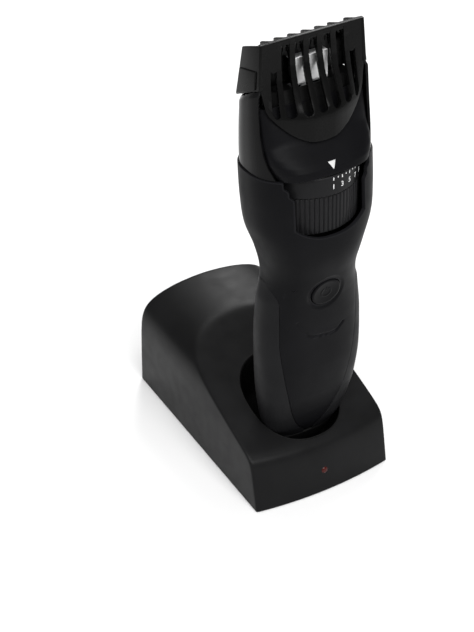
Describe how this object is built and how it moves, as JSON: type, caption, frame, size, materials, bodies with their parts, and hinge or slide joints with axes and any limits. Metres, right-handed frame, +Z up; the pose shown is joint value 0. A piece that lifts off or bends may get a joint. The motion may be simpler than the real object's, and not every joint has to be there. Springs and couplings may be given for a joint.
{
  "type": "body groomer",
  "caption": "Cordless body groomer with a slide-on trimming comb, a length dial and a round power button, standing in a loaf-shaped charging stand with a sloping deck.",
  "frame": {"origin": "centre of the stand's footprint on the surface that it rests on", "axes": "+Z up, front of the stand and of the trimmer towards -Y, symmetric about the plane x = 0"},
  "size_m": [0.057, 0.0951, 0.1816],
  "materials": {
    "stand_plastic": "satin",
    "dark_plastic": "matte",
    "rubber": "matte",
    "steel": "brushed",
    "gold_contact": "polished",
    "circuit_board": "satin",
    "capacitor": "gloss",
    "led_red": "gloss",
    "body_plastic": "satin",
    "gloss_body": "gloss",
    "soft_grip": "matte",
    "battery_sleeve": "gloss",
    "blade_steel": "polished",
    "dial_plastic": "satin",
    "comb_plastic": "satin",
    "acetal": "satin"
  },
  "bodies": {
    "stand": {"stand_shell": "stand_plastic", "stand_base_plate": "dark_plastic", "stand_feet": "rubber", "stand_screws": "steel", "cradle_cup": "dark_plastic", "stand_contact_pins": "gold_contact", "stand_circuit_board": "circuit_board", "stand_capacitors": "capacitor", "ballast_weight": "steel", "charge_led": "led_red", "led_lens": "led_red", "inlet_jack": "dark_plastic", "inlet_pin": "steel"},
    "groomer": {"front_housing": "body_plastic", "rear_housing": "gloss_body", "rear_grip": "soft_grip", "side_grip_left": "soft_grip", "side_grip_right": "soft_grip", "base_cap": "dark_plastic", "base_seal": "rubber", "base_contacts": "gold_contact", "housing_screws": "steel", "inner_chassis": "dark_plastic", "battery_cell": "battery_sleeve", "battery_tabs": "steel", "circuit_board": "circuit_board", "tact_switch": "dark_plastic", "button_seal": "rubber", "motor_can": "steel", "motor_mount": "dark_plastic", "shaft_seal": "rubber", "neck_cover": "body_plastic", "dial_detent_spring": "steel", "head_block": "dark_plastic", "blade_holder": "dark_plastic", "stationary_blade": "blade_steel", "blade_spring": "blade_steel"},
    "power_button": {"power_button": "body_plastic"},
    "dial": {"dial_drum": "dial_plastic"},
    "comb_carriage": {"comb_carriage": "dark_plastic"},
    "comb": {"comb_frame": "comb_plastic"},
    "drive": {"motor_shaft": "steel", "drive_cam": "acetal"},
    "moving_blade": {"moving_blade": "blade_steel", "blade_yoke": "acetal"}
  },
  "joints": [
    {"name": "lift_off", "type": "slide", "parent": "stand", "child": "groomer", "axis": [0, 0.0523, 0.9986], "range_m": [0, 0.06]},
    {"name": "button_press", "type": "slide", "parent": "groomer", "child": "power_button", "axis": [0, 0.9848, 0.1736], "range_m": [0, 0.0006], "stiffness_N_per_m": 400},
    {"name": "dial_turn", "type": "hinge", "parent": "groomer", "child": "dial", "pos_m": [0, -0.02538, 0.12376], "axis": [0, -0.0523, -0.9986], "range_deg": [0, 48]},
    {"name": "comb_length", "type": "slide", "parent": "groomer", "child": "comb_carriage", "axis": [0, 0.0523, 0.9986], "range_m": [0, 0.009]},
    {"name": "comb_off", "type": "slide", "parent": "comb_carriage", "child": "comb", "axis": [0, 0.0523, 0.9986], "range_m": [0, 0.034]},
    {"name": "motor_spin", "type": "hinge", "parent": "groomer", "child": "drive", "pos_m": [0, -0.0272, 0.13887], "axis": [0, 0.0523, 0.9986], "continuous": true},
    {"name": "blade_stroke", "type": "slide", "parent": "groomer", "child": "moving_blade", "axis": [1, 0, 0], "range_m": [-0.0008, 0.0008]}
  ],
  "couplings": [
    {"joint": "comb_length", "follows": "dial_turn", "m_per_rad": 0.01074}
  ]
}
